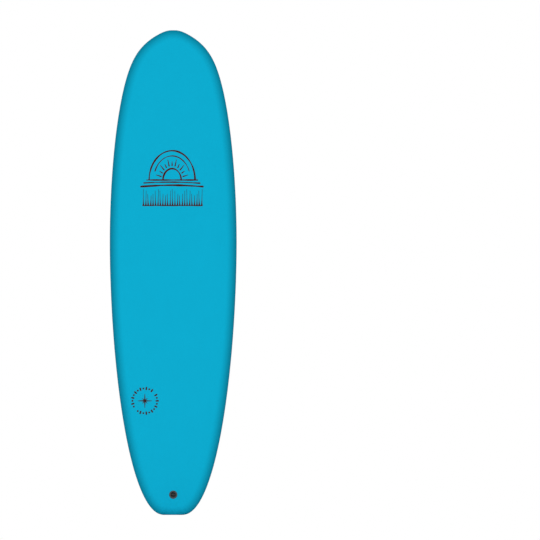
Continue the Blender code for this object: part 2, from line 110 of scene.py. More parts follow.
# Fin boxes
FIN_SIDE_OFFSET = 0.1635
FIN_SIDE_FROM_TAIL = 0.460
FIN_CENTRE_FROM_TAIL = 0.190
TOE_IN = 2.5
CANT = 5.5
BOX_SINK = 0.0003
FLANGE_LENGTH = 0.170
FLANGE_WIDTH = 0.040
FLANGE_THICKNESS = 0.003
BOX_LENGTH = 0.150
BOX_WIDTH = 0.029
BOX_DEPTH = 0.0205
SLOT_LENGTH = 0.1126
SLOT_WIDTH = 0.0070
SLOT_DEPTH = 0.0175
SLOT_CORNER = 0.0009
SLOT_CHAMFER = 0.0006
RIM_LENGTH = 0.130  # of the raised rim round the slot
RIM_WIDTH = 0.024
RIM_HEIGHT = 0.00025

# Fins
FIN_BASE = 0.115
FIN_DEPTH = 0.112
FIN_THICKNESS = 0.0064
FIN_FOOT = 0.0006
FIN_SWEEP = 0.024
FIN_BOW = 0.006  # how far the trailing edge bows forward
FIN_TAPER = (1.6, 0.62)  # exponents of the chord from base to tip
FIN_THINNING = 0.72  # share of the swell lost at the tip
FIN_FULLNESS = 0.6  # below 1, the blade is thickest ahead of its middle
FLAT_SIDE = 0.15  # share of the swell on a side fin's inner face
EDGE_THICKNESS = 0.0009
ROOT_FILLET = 0.0022
TAB_LENGTH = 0.112
TAB_WIDTH = 0.0064
TAB_DEPTH = 0.0168
TAB_CORNER = 0.0012

# Grub screws
SCREW_SPACING = 0.076
SCREW_RADIUS = 0.0025
SCREW_LENGTH = 0.0063
CONE_LENGTH = 0.0017
CONE_TIP = 0.0008
SCREW_TILT = 45.0
TIP_OFFSET = 0.0041
TIP_DEPTH = 0.0075
HEX_RADIUS = 0.00145
HEX_DEPTH = 0.0024
THREAD_PITCH = 0.0008
THREAD_DEPTH = 0.00035
BORE_CLEARANCE = 0.0003

# Printed stripes on the bottom
STRIPE_PITCH = 0.017874
STRIPE_WIDENING = 3.33  # share of the pitch that a stripe fills, gained per metre from the centreline
STRIPE_START = (0.010, 0.026)  # where the stripes taper in, either side of the centreline
STRIPE_BLUR = 0.0004
HALO = 0.0026  # plain band round the fin boxes and the mark

# Painted shade: the deck's blue is darkened in a band along the outline, standing in for the shading of its
# rolled rails
RAIL_SHADE_BAND = 0.044
RAIL_SHADE_DEPTH = 0.56  # share of the blue lost to painted shade at the outline itself
RAIL_SHADE_EASE = 1.4
RAIL_SHADE_DROP = 0.007  # how far below the flat tail the band is measured from, which fades out above it

# Printed artwork: how far it stands proud of the skin, and how deep it reaches into it
INK_PROUD = 0.00014
INK_ROOT = 0.0001
DRAWING = (-0.005, 1.443)
SPIKES = (-0.003, 1.360)
EMBLEM = (-0.125, 0.502)
MARK = (0.023, 1.522)
MARK_HALF = (0.0905, 0.173)
MARK_GRID = 0.009  # spacing of the points that make the mark follow the surface

# Light, floor and camera
AMBIENT = 0.66
SUN_STRENGTH = 0.92
SUN_SOFTNESS = 70
SUN_PLACE = (-0.5, 4.0, 3.0)  # of the back light. The front light is its mirror image.
FLOOR_REACH = 60.0
FLOOR_HEIGHT = -0.0006  # clear of the tail
VIEW_SIZE = 1.1139 * LENGTH
VIEW_ASIDE = 0.1792  # share of the view between the board and the view's middle
VIEW_HEIGHT = 0.5052 * LENGTH
CAMERA_AWAY = 5.0

DECK, BOTTOM = -1, 1  # the two faces, as their direction along Y
OUTLINE_DISTANCE = "from_outline"  # a number kept at each of the deck's vertices


def paint(red, green, blue):
    """A linear colour from one written as screen values of 0 to 255."""
    shares = [value / 255 for value in (red, green, blue)]
    return [s / 12.92 if s <= 0.04045 else ((s + 0.055) / 1.055) ** 2.4 for s in shares] + [1.0]


BLUE = paint(10, 172, 208)
INK_BROWN = paint(66, 26, 22)
INK_FADED = paint(44, 66, 72)
INK_SLATE = paint(58, 32, 30)
YELLOW = paint(232, 236, 132)
YELLOW_LEFT = paint(237, 238, 128)
YELLOW_RIGHT = paint(235, 238, 127)
LAVENDER = paint(177, 172, 212)
TEAL = paint(148, 207, 198)
CHARCOAL = paint(70, 70, 72)
FIN_GREY = paint(54, 55, 58)
STEEL = paint(196, 198, 200)
FOAM_WHITE = paint(242, 242, 238)
FOAM_TAN = paint(214, 204, 176)
WOOD_LIGHT = paint(214, 180, 132)
WOOD_DARK = paint(168, 124, 80)
SCUFF = paint(120, 120, 122)
FLOOR_WHITE = paint(244, 244, 244)


# The board's surface, by the same formulas as the CAD


def spans(z, middle):
    """How far z is past a middle height, towards the nose and towards the tail, as shares of 0 to 1."""
    return np.clip((z - middle) / (LENGTH - middle), 0, 1), np.clip((middle - z) / middle, 0, 1)


def half_width(z):
    """Half of the board's width, z above the tail. Below the tail it is the short end that gets cut off,
    which leaves the sides without a corner."""
    ahead, behind = spans(z, WIDE_POINT)
    below = np.clip(-z / TAIL_OVERHANG, 0, 1)
    rise, fullness = NOSE_CURVE
    point, nearness = NOSE_POINT
    nose = WIDTH / 2 * (1 - ahead**rise) ** (1 / fullness) * (1 - point * ahead**nearness)
    rise, fullness = TAIL_CURVE
    tail = (WIDTH - TAIL_WIDTH) / 2 * (1 - behind**rise) ** (1 / fullness) + TAIL_WIDTH / 2
    end = TAIL_WIDTH / 2 * np.sqrt(1 - np.sqrt(below))
    return np.where(z >= WIDE_POINT, nose, np.where(z >= 0, tail, end))


def thickness(z):
    ahead, behind = spans(z, THICK_POINT)
    nose_loss = (THICKNESS - NOSE_THICKNESS) * ahead**NOSE_TAPER
    tail_loss = (THICKNESS - TAIL_THICKNESS) * behind**TAIL_TAPER
    return THICKNESS - nose_loss - tail_loss


def rocker(z):
    ahead, behind = spans(z, FLAT_POINT)
    return NOSE_ROCKER * ahead**NOSE_LIFT + TAIL_ROCKER * behind**TAIL_LIFT


def seam_line(z):
    """Y of the line round the rails where the two skins meet."""
    below_seam = (1 - DECK_SHARE) * thickness(z)
    flat_bottom = SEAM_AT_TAIL + (1 - DECK_SHARE) * TAIL_THICKNESS + TAIL_ROCKER
    return flat_bottom - rocker(z) - below_seam


def spine_height(z):
    """Where on the spine the cross-section through the outline's point at z starts."""
    share = (z + TAIL_OVERHANG) / (LENGTH + TAIL_OVERHANG)
    return SPINE_FROM_TAIL + share * (LENGTH - SPINE_FROM_NOSE - SPINE_FROM_TAIL)


def cut_tail(z, rim):
    """Flattens everything below the tail onto z = 0, with a small rounding above it. rim is the height of
    the outline's point: the rounding grows from nothing as that passes below the tail."""
    radius = np.clip(-rim, SHARPEST, TAIL_ROUNDING)
    rounded = (z + radius) ** 2 / (4 * radius)
    return np.where(z <= -radius, 0.0, np.where(z >= radius, z, rounded))


def face_shape(face):
    """The two exponents of a face's cross-section, and its share of the thickness."""
    if face == DECK:
        return *DECK_CROWN, DECK_SHARE
    return *BOTTOM_FLAT, 1 - DECK_SHARE


def outline_stations():
    """Half of the outline from tail to nose as (x, z, outward normal), closer together where it bends."""
    turn = np.linspace(0, math.pi, OUTLINE_SAMPLES)
    middle = (LENGTH - TAIL_OVERHANG) / 2
    z = middle - (LENGTH + TAIL_OVERHANG) / 2 * np.cos(turn)
    x = half_width(z)
    x[[0, -1]] = 0.0
    steps = np.column_stack([np.diff(x), np.diff(z)])
    lengths = np.linalg.norm(steps, axis=1)
    angles = np.unwrap(np.arctan2(steps[:, 1], steps[:, 0]))
    bends = np.append(0.0, np.abs(np.diff(angles)))
    spacing = lengths / lengths.sum() + BEND_WEIGHT * bends / bends.sum()
    measure = np.append(0.0, np.cumsum(spacing))
    wanted = np.linspace(0, measure[-1], STATIONS + 1)
    tangents = np.column_stack([np.gradient(x), np.gradient(z)])
    tangents /= np.linalg.norm(tangents, axis=1)[:, None]
    normals = np.column_stack([tangents[:, 1], -tangents[:, 0]])
    normals[0], normals[-1] = (0.0, -1.0), (0.0, 1.0)
    columns = [np.interp(wanted, measure, values) for values in (x, z, normals[:, 0], normals[:, 1])]
    columns[0][[0, -1]] = 0.0
    return columns


def surface_grid(face, rings, inset=0.0, lift=0.0, roll=0.0):
    """Points of one half of a face, in rows from the spine to the outline and columns from tail to nose.
    inset draws its outline in, lift lowers it, and roll draws its edge in where it meets the seam."""
    x, z, normal_x, normal_z = outline_stations()
    across, along, share = face_shape(face)
    steps = np.linspace(0, 1, rings + 1)[:, None]
    angle = math.pi / 2 * (1 - (1 - steps) ** RING_CROWDING)
    out = np.sin(angle) ** (2 / across)
    up = np.cos(angle) ** (2 / along)
    up[-1] = 0.0
    spine = spine_height(z)
    grid_x = out * (x - inset * normal_x)
    grid_z = inset + cut_tail(spine + out * (z - inset * normal_z - spine) - inset, z)
    above = GAP / 2 + (share * thickness(grid_z) - lift - GAP / 2) * up
    drawn_in = roll * np.exp(-((above / SEAM_REACH) ** 2))
    grid_x = grid_x - drawn_in * normal_x
    grid_z = grid_z - drawn_in * normal_z
    grid_x[:, [0, -1]] = 0.0
    return np.stack([grid_x, seam_line(grid_z) + face * above, grid_z], axis=-1)


def surface_y(face, x, z):
    """Y of the board's face at x, z, found by sliding along the outline until its section meets them."""
    x = np.abs(np.asarray(x, float))
    z = np.asarray(z, float)
    low, high = np.full(z.shape, -TAIL_OVERHANG), np.full(z.shape, LENGTH)
    halvings, least_width = 45, 1e-9
    for _ in range(halvings):
        middle = (low + high) / 2
        spine = spine_height(middle)
        reach = x / np.maximum(half_width(middle), least_width)
        below = spine + reach * (middle - spine) < z
        low, high = np.where(below, middle, low), np.where(below, high, middle)
    reach = np.minimum(x / np.maximum(half_width(low), least_width), 1.0)
    across, along, share = face_shape(face)
    return seam_line(z) + face * share * thickness(z) * (1 - reach**across) ** (1 / along)


def surface_frame(face, x, z, turn):
    """A frame on the board's face: X towards the nose turned by an angle about the normal, Z outwards."""
    step = 0.005
    slope_x = float(surface_y(face, x + step, z) - surface_y(face, x - step, z)) / (2 * step)
    slope_z = float(surface_y(face, x, z + step) - surface_y(face, x, z - step)) / (2 * step)
    normal = Vector((-slope_x * face, face, -slope_z * face)).normalized()
    nose = Vector((0, slope_z, 1)).normalized()
    made = Matrix((nose, normal.cross(nose), normal)).transposed().to_4x4()
    made.translation = (x, float(surface_y(face, x, z)), z)
    return made @ Matrix.Rotation(math.radians(turn), 4, "Z")


# Outlines and meshes


def rounded_path(points, radius, closed=False, steps=5):
    """A path with its corners rounded. radius is one number, or one for each point."""
    points = np.asarray(points, float)
    count = len(points)
    radii = np.broadcast_to(radius, count)
    most_of_side, least_tangent = 0.49, 1e-6
    path = []
    for index, corner in enumerate(points):
        if (not closed and index in (0, count - 1)) or radii[index] == 0:
            path.append(corner)
            continue
        before, after = points[index - 1] - corner, points[(index + 1) % count] - corner
        reach = [np.linalg.norm(before), np.linalg.norm(after)]
        cosine = np.clip(before @ after / (reach[0] * reach[1]), -1, 1)
        tangent = max(math.tan(math.acos(cosine) / 2), least_tangent)
        cut = min(radii[index] / tangent, most_of_side * min(reach))
        start, end = corner + before / reach[0] * cut, corner + after / reach[1] * cut
        for share in np.linspace(0, 1, steps + 1):
            path.append((1 - share) ** 2 * start + 2 * share * (1 - share) * corner + share**2 * end)
    return np.array(path)


def rounded_rectangle(length, width, corner, steps):
    """Points round a rectangle along X. With a corner of half its width it is a pill."""
    points = []
    for quarter, (along, across) in enumerate(((1, 1), (-1, 1), (-1, -1), (1, -1))):
        for step in range(steps + 1):
            angle = math.pi / 2 * (quarter + step / steps)
            x = along * (length / 2 - corner) + corner * math.cos(angle)
            y = across * (width / 2 - corner) + corner * math.sin(angle)
            points.append((x, y))
    return np.array(points)


def slab_rings(length, width, corner, profile, steps):
    """Rings of a rounded slab. Its profile gives how far each ring is drawn in, and its height."""
    least_corner = 0.02 * MM
    rings = []
    for inset, height in profile:
        rounding = max(corner - inset, least_corner)
        ring = rounded_rectangle(length - 2 * inset, width - 2 * inset, rounding, steps)
        rings.append(np.column_stack([ring, np.full(len(ring), height)]))
    return rings


def mesh_from(points, faces):
    mesh = bpy.data.meshes.new("mesh")
    mesh.from_pydata([tuple(map(float, point)) for point in points], [], faces)
    mesh.update()
    return mesh


def loft(rings, ends=(None, None)):
    """A closed mesh through rings of points, counterclockwise as seen from the last. An end is closed with
    a flat face, or with a fan to a point."""
    count = len(rings[0])
    points = [point for ring in rings for point in ring]
    faces = []
    for row in range(len(rings) - 1):
        for column in range(count):
            beside = (column + 1) % count
            low, high = row * count, (row + 1) * count
            faces.append((low + column, low + beside, high + beside, high + column))
    for end, start in zip(ends, (0, (len(rings) - 1) * count)):
        ring = [start + column for column in range(count)]
        if start == 0:
            ring = ring[::-1]
        if end is None:
            faces.append(tuple(ring))
        else:
            faces += [(ring[column], ring[(column + 1) % count], len(points)) for column in range(count)]
            points.append(end)
    return mesh_from(points, faces)


def around(turns, radius, height):
    """Points at some turns about Z. radius is one number, or one for each turn."""
    return np.column_stack([radius * np.cos(turns), radius * np.sin(turns), 0 * turns + height])


def turned(profile, segments):
    """A closed mesh turned about Z. Its profile of (radius, height) starts and ends on the axis."""
    turns = np.arange(segments) * 2 * math.pi / segments
    rings = [around(turns, radius, height) for radius, height in profile[1:-1]]
    ends = [(0.0, 0.0, height) for _, height in (profile[0], profile[-1])]
    return loft(rings, ends)


def strip_faces(first, second, columns, flip):
    """The triangles between two rows of vertices. Their diagonals lean outwards towards the board's middle,
    so that no triangle lies flat on the middle plane."""
    faces = []
    for column in range(columns - 1):
        near, far = first + column, second + column
        if column < columns // 2:
            pair = (near, near + 1, far + 1), (near, far + 1, far)
        else:
            pair = (near, near + 1, far), (near + 1, far + 1, far)
        faces += [face[::-1] for face in pair] if flip else pair
    return faces


def half_skin(face, depth):
    """Half of a skin, open at the board's middle plane: fine outside, coarse inside."""
    outer = surface_grid(face, OUTER_RINGS, roll=SEAM_ROLL)
    inner = surface_grid(face, INNER_RINGS, inset=DECK_SKIN, lift=depth)
    columns = outer.shape[1]
    flip = face == BOTTOM
    start = (OUTER_RINGS + 1) * columns
    faces = []
    for row in range(OUTER_RINGS):
        faces += strip_faces(row * columns, (row + 1) * columns, columns, not flip)
    for row in range(INNER_RINGS):
        faces += strip_faces(start + row * columns, start + (row + 1) * columns, columns, flip)
    faces += strip_faces(start - columns, start + INNER_RINGS * columns, columns, not flip)
    return mesh_from(np.concatenate([outer.reshape(-1, 3), inner.reshape(-1, 3)]), faces)


def store_outline_distance(mesh):
    """Keeps at each vertex its distance from the board's outline, seen square on. The deck's material paints
    its rail shade from it.
    """
    x, z, _, _ = outline_stations()
    above = z.clip(0)
    lowered = above - RAIL_SHADE_DROP * np.exp(-above / RAIL_SHADE_DROP)
    stations = np.arange(len(x))
    steps_between = 12
    fine = np.linspace(0, stations[-1], steps_between * stations[-1] + 1)
    tree = KDTree(len(fine))
    edge = zip(np.interp(fine, stations, x), np.interp(fine, stations, lowered))
    for index, (across, along) in enumerate(edge):
        tree.insert((across, 0, along), index)
    tree.balance()
    kept = mesh.attributes.new(OUTLINE_DISTANCE, "FLOAT", "POINT")
    for vertex, number in zip(mesh.vertices, kept.data):
        number.value = tree.find((abs(vertex.co.x), 0, vertex.co.z))[2]


# Objects


def place(name, data, matrix=None):
    """Puts a mesh, a light or a camera in the scene, under the object's name."""
    data.name = name
    thing = bpy.data.objects.new(name, data)
    bpy.context.scene.collection.objects.link(thing)
    thing.matrix_world = matrix or Matrix.Identity(4)
    return thing


def apply_modifiers(thing):
    bpy.context.view_layer.update()
    graph = bpy.context.evaluated_depsgraph_get()
    thing.data = bpy.data.meshes.new_from_object(thing.evaluated_get(graph))
    thing.modifiers.clear()
    thing.data.name = thing.name


def combine(thing, cutters, operation="DIFFERENCE"):
    """Cuts other objects from a thing, or adds them to it. The others are removed."""
    for cutter in cutters:
        modifier = thing.modifiers.new(cutter.name, "BOOLEAN")
        modifier.operation = operation
        modifier.solver = "EXACT"
        modifier.object = cutter
    apply_modifiers(thing)
    for cutter in cutters:
        bpy.data.objects.remove(cutter, do_unlink=True)


def finish_piece(thing, body, material, stands_for=(), angle=30):
    """Shades a piece, gives it its material and its body, and hides the CAD nodes that it stands for. Its
    slot is named after its material."""
    thing.data.shade_smooth()
    thing.data.set_sharp_from_angle(angle=math.radians(angle))
    thing.data.materials.clear()
    thing.data.materials.append(MATERIALS[material])
    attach(thing, body)
    if stands_for:
        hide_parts(*stands_for)


# Materials


MATERIALS = {}


class Look:
    """A material, kept in MATERIALS by name: its shader, and short names for the nodes that feed it."""

    def __init__(self, name, roughness, metallic=0.0, specular=0.5):
        made = MATERIALS[name] = bpy.data.materials.new(name)
        made.use_nodes = True
        self.tree = made.node_tree
        self.shader = self.tree.nodes["Principled BSDF"]
        uniform = {"Metallic": metallic, "Specular IOR Level": specular, "Roughness": roughness}
        for key, value in uniform.items():
            self.shader.inputs[key].default_value = value
        self.place = self.node("ShaderNodeTexCoord").outputs["Object"]
        self.bumped = None

    def node(self, kind, inputs=None, **settings):
        made = self.tree.nodes.new(kind)
        for key, value in settings.items():
            setattr(made, key, value)
        for key, value in (inputs or {}).items():
            self.feed(made.inputs[key], value)
        return made

    def feed(self, socket, value):
        if isinstance(value, bpy.types.NodeSocket):
            self.tree.links.new(value, socket)
        else:
            socket.default_value = value

    def math(self, operation, first, second=0.0, clamp=False):
        made = self.node("ShaderNodeMath", {0: first, 1: second}, operation=operation, use_clamp=clamp)
        return made.outputs[0]

    def axes(self, vector):
        return self.node("ShaderNodeSeparateXYZ", {0: vector}).outputs[:3]

    def stretched(self, x, y, z):
        scale = {"Vector": self.place, "Scale": (x, y, z)}
        return self.node("ShaderNodeMapping", scale).outputs[0]

    def noise(self, size, detail, vector=None):
        """Soft noise from 0 to 1 whose lumps are about size across."""
        inputs = {"Vector": vector or self.place, "Scale": 1 / size, "Detail": detail}
        return self.node("ShaderNodeTexNoise", inputs).outputs["Fac"]

    def cells(self, size, feature="F1"):
        """Distance from the middle or the edge of rounded cells about size across."""
        inputs = {"Vector": self.place, "Scale": 1 / size}
        return self.node("ShaderNodeTexVoronoi", inputs, feature=feature).outputs["Distance"]

    def ramp(self, value, low, high, start=0.0, end=1.0):
        """A smooth step of a value from low to high."""
        inputs = {"Value": value, "From Min": low, "From Max": high, "To Min": start, "To Max": end}
        return self.node("ShaderNodeMapRange", inputs, interpolation_type="SMOOTHSTEP").outputs[0]

    def blend(self, share, first, second, mode="MIX"):
        inputs = {0: share, 6: first, 7: second}
        return self.node("ShaderNodeMix", inputs, data_type="RGBA", blend_type=mode).outputs[2]

    def vary(self, colour, value, amount):
        """A colour made up to amount darker and lighter by a value from 0 to 1."""
        shade = self.math("MULTIPLY_ADD", value, 2 * amount)
        self.feed(shade.node.inputs[2], 1 - amount)
        return self.blend(1.0, colour, shade, "MULTIPLY")

    def colour(self, value):
        self.feed(self.shader.inputs["Base Color"], value)

    def roughness(self, value, low, high):
        self.feed(self.shader.inputs["Roughness"], self.ramp(value, 0.2, 0.8, low, high))

    def bump(self, height, depth, strength):
        inputs = {"Height": height, "Distance": depth, "Strength": strength}
        if self.bumped:
            inputs["Normal"] = self.bumped
        self.bumped = self.node("ShaderNodeBump", inputs).outputs[0]
        self.feed(self.shader.inputs["Normal"], self.bumped)


def add_pebbles(look):
    """The pebbled grain of a closed-cell foam skin: shallow pads with fine creases between them."""
    creases = look.ramp(look.cells(2.4 * MM, "DISTANCE_TO_EDGE"), 0.0, 0.35)
    look.bump(creases, 0.12 * MM, 0.5)
    look.bump(look.noise(0.7 * MM, 2.0), 0.05 * MM, 0.5)
    look.bump(look.noise(28 * MM, 1.0), 0.5 * MM, 0.35)
    return creases


def deck_material():
    look = Look("deck_foam", 0.6, specular=0.02)
    creases = add_pebbles(look)
    # Painted shade: the blue is darkened towards the outline, by each vertex's distance from it, standing in
    # for the rails' shading
    away = look.node("ShaderNodeAttribute", attribute_name=OUTLINE_DISTANCE).outputs["Fac"]
    nearness = look.math("SUBTRACT", 1.0, look.math("DIVIDE", away, RAIL_SHADE_BAND), clamp=True)
    loss = look.math("MULTIPLY", look.math("POWER", nearness, RAIL_SHADE_EASE), RAIL_SHADE_DEPTH)
    body = look.blend(1.0, BLUE, look.math("SUBTRACT", 1.0, loss), "MULTIPLY")
    body = look.vary(body, look.noise(90 * MM, 3.0), 0.02)
    # Painted shade: the pebbles' creases are painted a little darker and their pads a little lighter
    body = look.vary(body, creases, 0.035)
    look.colour(body)
    look.roughness(look.noise(6 * MM, 3.0), 0.55, 0.72)


def ink_material(name, colour, roughness, faded=None, span=(0, 1), pebbled=True):
    """Ink on the deck or the bottom. It fades along Z from colour to faded over the span."""
    look = Look(name, roughness, specular=0.05)
    if pebbled:
        add_pebbles(look)
    if faded:
        _, _, z = look.axes(look.place)
        colour = look.blend(look.ramp(z, *span), colour, faded)
    worn = look.noise(3 * MM, 4.0)
    look.colour(look.vary(colour, worn, 0.08))
    look.roughness(worn, roughness, roughness + 0.12)


def halo_mask(look, across, along, centre, turn):
    """1 outside the plain band round a fin box, and 0 on it."""
    calc = look.math
    x = calc("SUBTRACT", across, centre[0])
    z = calc("SUBTRACT", along, centre[1])
    cosine, sine = math.cos(math.radians(turn)), math.sin(math.radians(turn))
    down = calc("ADD", calc("MULTIPLY", z, cosine), calc("MULTIPLY", x, -sine))
    over = calc("ADD", calc("MULTIPLY", x, cosine), calc("MULTIPLY", z, sine))
    straight = (FLANGE_LENGTH - FLANGE_WIDTH) / 2
    past = calc("MAXIMUM", calc("SUBTRACT", calc("ABSOLUTE", down), straight), 0.0)
    squares = calc("ADD", calc("MULTIPLY", past, past), calc("MULTIPLY", over, over))
    edge = FLANGE_WIDTH / 2 + HALO
    return look.ramp(calc("SQRT", squares), edge - STRIPE_BLUR, edge + STRIPE_BLUR)


def bottom_material():
    """Slick sheet printed with stripes, which widen from nothing near the centreline to the rails."""
    look = Look("slick_bottom", 0.3, specular=0.3)
    calc = look.math
    x, _, z = look.axes(look.place)
    across = calc("ABSOLUTE", x)
    away = calc("PINGPONG", z, STRIPE_PITCH / 2)
    taper = look.ramp(across, *STRIPE_START)
    reach = calc("MULTIPLY", across, STRIPE_WIDENING * STRIPE_PITCH / 2)
    inside = calc("DIVIDE", calc("SUBTRACT", reach, away), STRIPE_BLUR)
    stripe = calc("MULTIPLY", calc("ADD", inside, 0.5, clamp=True), taper)
    boxes = ((0.0, FIN_CENTRE_FROM_TAIL, 0.0), (FIN_SIDE_OFFSET, FIN_SIDE_FROM_TAIL, TOE_IN))
    for centre_x, centre_z, turn in boxes:
        outside = halo_mask(look, across, z, (centre_x, centre_z), turn)
        stripe = calc("MULTIPLY", stripe, outside)
    side = look.ramp(x, -1 * MM, 1 * MM)
    ground = look.blend(side, YELLOW_LEFT, YELLOW_RIGHT)
    ground = look.blend(look.ramp(across, 20 * MM, 60 * MM), YELLOW, ground)
    stripe_colour = look.blend(side, TEAL, LAVENDER)
    printed = look.blend(stripe, ground, stripe_colour)
    look.colour(look.vary(printed, look.noise(45 * MM, 4.0), 0.015))
    look.roughness(look.noise(16 * MM, 4.0), 0.24, 0.36)
    look.bump(look.noise(9 * MM, 2.0), 0.25 * MM, 0.25)
    look.bump(look.noise(1.1 * MM, 2.0), 0.03 * MM, 0.2)


def nylon_material(name, colour, roughness, scuffs):
    """Dark moulded nylon: a fine grain, flow marks along the piece and light scuffs."""
    look = Look(name, roughness, specular=0.2)
    flow = look.noise(20 * MM, 3.0, look.stretched(1.0, 1.0, 0.2))
    body = look.vary(colour, flow, 0.06)
    scratches = look.noise(1.6 * MM, 5.0, look.stretched(1.0, 1.0, 0.08))
    worn = look.ramp(scratches, 0.62, 0.74, 0.0, scuffs)
    look.colour(look.blend(worn, body, SCUFF))
    look.roughness(flow, roughness - 0.06, roughness + 0.08)
    look.bump(look.cells(0.6 * MM), 0.03 * MM, 0.35)
    look.bump(look.noise(0.25 * MM, 2.0), 0.02 * MM, 0.3)


def steel_material():
    """Turned stainless steel: fine rings round its axis, and a few dull spots."""
    look = Look("turned_steel", 0.3, metallic=1.0)
    rings = look.noise(0.3 * MM, 3.0, look.stretched(0.05, 0.05, 1.0))
    dull = look.noise(1.5 * MM, 3.0)
    look.colour(look.vary(STEEL, dull, 0.08))
    look.roughness(rings, 0.22, 0.42)
    look.bump(rings, 0.01 * MM, 0.4)


def bead_foam_material(name, colour, bead):
    """Foam of beads pressed together, each a little different in tone, with fine creases between them that
    are painted darker as painted shade.
    """
    look = Look(name, 0.85, specular=0.3)
    creases = look.ramp(look.cells(bead, "DISTANCE_TO_EDGE"), 0.0, 0.12)
    body = look.vary(colour, look.noise(bead, 1.0), 0.04)
    # Painted shade: darker in the creases between the beads
    look.colour(look.vary(body, creases, 0.07))
    look.roughness(creases, 0.9, 0.78)
    look.bump(creases, 0.3 * MM, 0.6)


def wood_material():
    """Laminated wood with its grain along the board."""
    look = Look("stringer_wood", 0.6, specular=0.35)
    grain = look.noise(5 * MM, 6.0, look.stretched(1.0, 1.0, 0.03))
    pores = look.noise(0.8 * MM, 3.0, look.stretched(1.0, 1.0, 0.06))
    body = look.blend(look.ramp(grain, 0.35, 0.65), WOOD_LIGHT, WOOD_DARK)
    look.colour(look.vary(body, pores, 0.12))
    look.roughness(pores, 0.5, 0.7)
    look.bump(pores, 0.08 * MM, 0.5)


# Artwork: closed films that follow the board's surface


def ribbon(points, widths):
    """The outline of a stroke with round ends. widths is one number, or one for each point."""
    points = np.asarray(points, float)
    half = np.broadcast_to(np.asarray(widths, float) / 2, len(points))[:, None]
    tangents = np.gradient(points, axis=0)
    tangents /= np.linalg.norm(tangents, axis=1)[:, None]
    normals = np.column_stack([-tangents[:, 1], tangents[:, 0]])
    turns = np.linspace(math.pi / 2, -math.pi / 2, 8)[1:-1, None]
    last = points[-1] + half[-1] * (np.cos(turns) * tangents[-1] + np.sin(turns) * normals[-1])
    first = points[0] - half[0] * (np.cos(turns) * tangents[0] + np.sin(turns) * normals[0])
    return np.concatenate([points + half * normals, last, (points - half * normals)[::-1], first])


def drawn(points, width, beat=0.0):
    """A stroke that swells and thins as a pen's does."""
    points = np.asarray(points, float)
    steps = np.linalg.norm(np.diff(points, axis=0), axis=1)
    along = np.append(0.0, np.cumsum(steps))
    (much, slow), (little, quick) = (0.22, 0.021), (0.1, 0.0083)  # share, and length over 2 pi
    swell = 1 + much * np.sin(along / slow + beat) + little * np.sin(along / quick + 2 * beat)
    return ribbon(points, width * swell)


def inside(loop, points):
    """Whether each point is inside a closed outline."""
    x, y = points[:, 0, None], points[:, 1, None]
    x0, y0 = loop[:, 0], loop[:, 1]
    x1, y1 = np.roll(x0, -1), np.roll(y0, -1)
    crosses = (y0 > y) != (y1 > y)
    rise = np.where(y1 == y0, 1.0, y1 - y0)
    left = x < (x1 - x0) * (y - y0) / rise + x0
    return (crosses & left).sum(axis=1) % 2 == 1


def film(name, face, centre, shapes, holes=(), proud=INK_PROUD, grid=0.0):
    """A thin closed film over the union of some outlines less the holes, laid on a face of the board."""
    loops = [np.asarray(loop, float) + centre for loop in (*shapes, *holes)]
    solid, cut = loops[: len(shapes)], loops[len(shapes) :]
    points, edges = [], []
    for loop in loops:
        start = len(points)
        points += loop.tolist()
        edges += [(start + i, start + (i + 1) % len(loop)) for i in range(len(loop))]
    if grid:
        low, high = np.min(points, axis=0), np.max(points, axis=0)
        spread = [np.arange(low[axis] + grid / 2, high[axis], grid) for axis in (0, 1)]
        points += np.stack(np.meshgrid(*spread), axis=-1).reshape(-1, 2).tolist()
    scaled = [Vector(point) / MM for point in points]
    tolerance = 1e-4
    found, _, triangles, *_ = delaunay_2d_cdt(scaled, edges, [], 0, tolerance)
    flat = np.array([tuple(point) for point in found]) * MM
    middles = flat[np.array(triangles)].mean(axis=1)
    kept = np.any([inside(loop, middles) for loop in solid], axis=0)
    for loop in cut:
        kept &= ~inside(loop, middles)
    triangles = [tuple(triangle) for triangle, keep in zip(triangles, kept) if keep]
    used = sorted({index for triangle in triangles for index in triangle})
    number = {index: order for order, index in enumerate(used)}
    triangles = [tuple(number[index] for index in triangle) for triangle in triangles]
    flat = flat[used]
    if face == BOTTOM:
        triangles = [triangle[::-1] for triangle in triangles]
    count = len(flat)
    height = surface_y(face, flat[:, 0], flat[:, 1])
    top = np.column_stack([flat[:, 0], height + face * proud, flat[:, 1]])
    root = np.column_stack([flat[:, 0], height - face * INK_ROOT, flat[:, 1]])
    sides = {(t[i], t[(i + 1) % 3]) for t in triangles for i in range(3)}
    faces = triangles + [tuple(index + count for index in t[::-1]) for t in triangles]
    faces += [(b, a, a + count, b + count) for a, b in sorted(sides) if (b, a) not in sides]
    return place(name, mesh_from(np.concatenate([top, root]), faces))


def arc(radius_x, radius_y, centre, start, end, steps=60):
    turns = np.radians(np.linspace(start, end, steps + 1))
    return np.column_stack([centre[0] + radius_x * np.cos(turns), centre[1] + radius_y * np.sin(turns)])


def circle(radius, centre, count):
    return arc(radius, radius, centre, 0, 360 * (count - 1) / count, count - 1)


def line(start, end, steps, bow=0.0):
    share = np.linspace(0, 1, steps + 1)[:, None]
    points = np.asarray(start) * (1 - share) + np.asarray(end) * share
    points[:, 1] += bow * np.sin(math.pi * share[:, 0])
    return points


